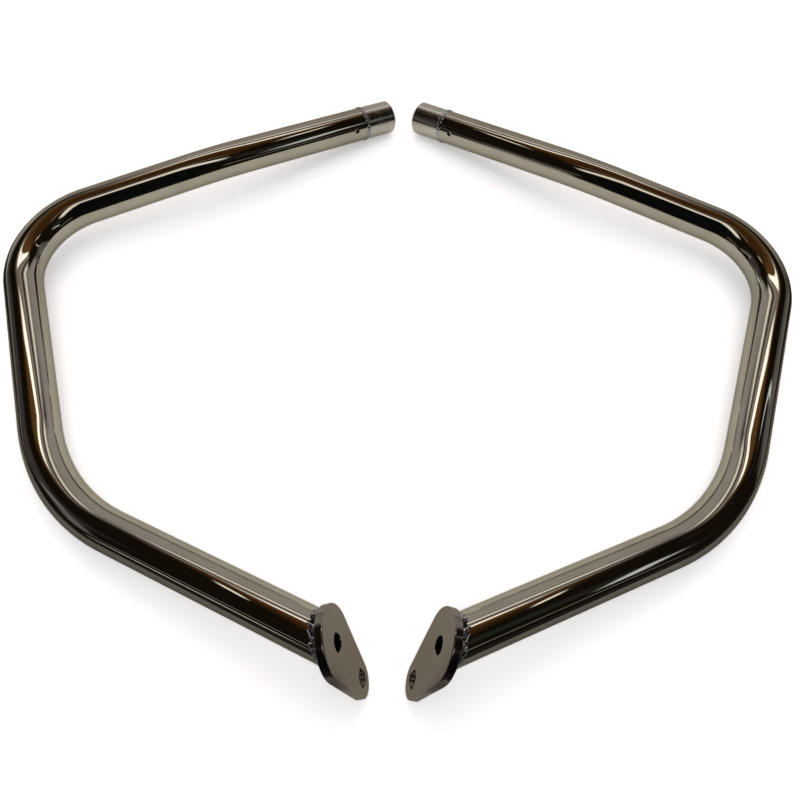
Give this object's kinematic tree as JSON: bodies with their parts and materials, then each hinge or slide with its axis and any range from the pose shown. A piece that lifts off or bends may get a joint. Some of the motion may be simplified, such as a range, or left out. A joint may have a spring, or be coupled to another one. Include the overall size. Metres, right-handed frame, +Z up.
{
  "type": "motorcycle crash bars",
  "caption": "Pair of chromed motorcycle crash bars, bent steel tube with a welded teardrop mount plate below and a threaded end plug above, lying flat",
  "frame": {"origin": "middle of the pair's footprint on the surface it lies on, midway between the mirrored bars", "axes": "+Z up from the surface; +X toward the right-hand bar, X = 0 is the mirror plane between the bars; +Y from the mount plates toward the end plugs"},
  "size_m": [0.6912, 0.5866, 0.0754],
  "materials": {
    "chromed_tube": "mirror-bright chrome plating on steel tube",
    "chromed_plug": "satin chrome plating on a turned steel plug",
    "chromed_plate": "bright chrome plating on flat steel plate, softer than the tube",
    "chromed_weld": "chrome plating over rippled weld beads"
  },
  "bodies": {
    "root": {"right_tube": "chromed_tube", "right_end_plug": "chromed_plug", "right_mount_plate": "chromed_plate", "right_plate_weld": "chromed_weld", "right_plug_weld": "chromed_weld", "left_tube": "chromed_tube", "left_end_plug": "chromed_plug", "left_mount_plate": "chromed_plate", "left_plate_weld": "chromed_weld", "left_plug_weld": "chromed_weld"}
  },
  "joints": []
}
